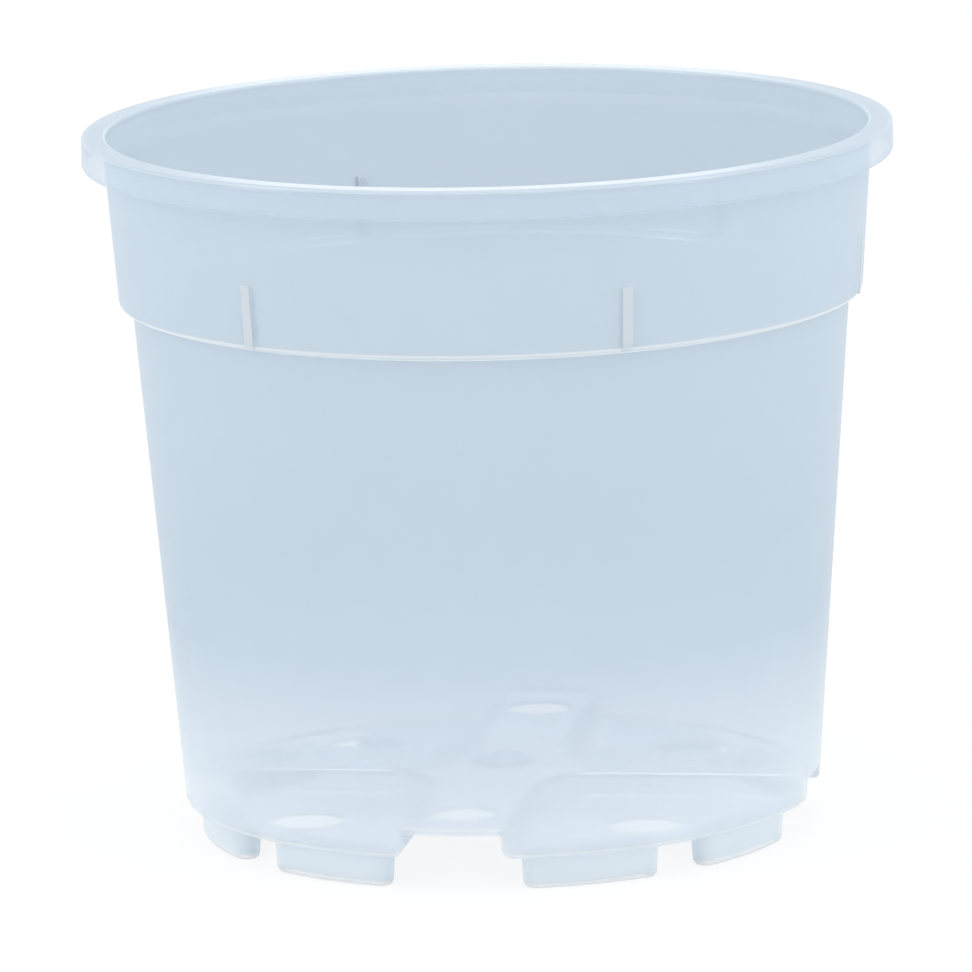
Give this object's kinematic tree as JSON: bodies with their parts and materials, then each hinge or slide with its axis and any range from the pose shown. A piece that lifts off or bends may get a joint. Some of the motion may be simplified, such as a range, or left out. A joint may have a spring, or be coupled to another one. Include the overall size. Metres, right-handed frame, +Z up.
{
  "type": "orchid pot with air slots",
  "caption": "Round clear plastic orchid pot with a rolled rim, a stepped collar and crossed air channels open through the base.",
  "frame": {"origin": "centre of the pot on the ground plane, at the soles of its feet", "axes": "+Z up through the pot's mouth, the two air channels run along X and Y, front is -Y"},
  "size_m": [0.12, 0.12, 0.1056],
  "materials": {
    "pot": "clear polypropylene with a faint blue tint, smooth and slightly cloudy, injection moulded"
  },
  "bodies": {
    "root": {"pot": "pot"}
  },
  "joints": []
}
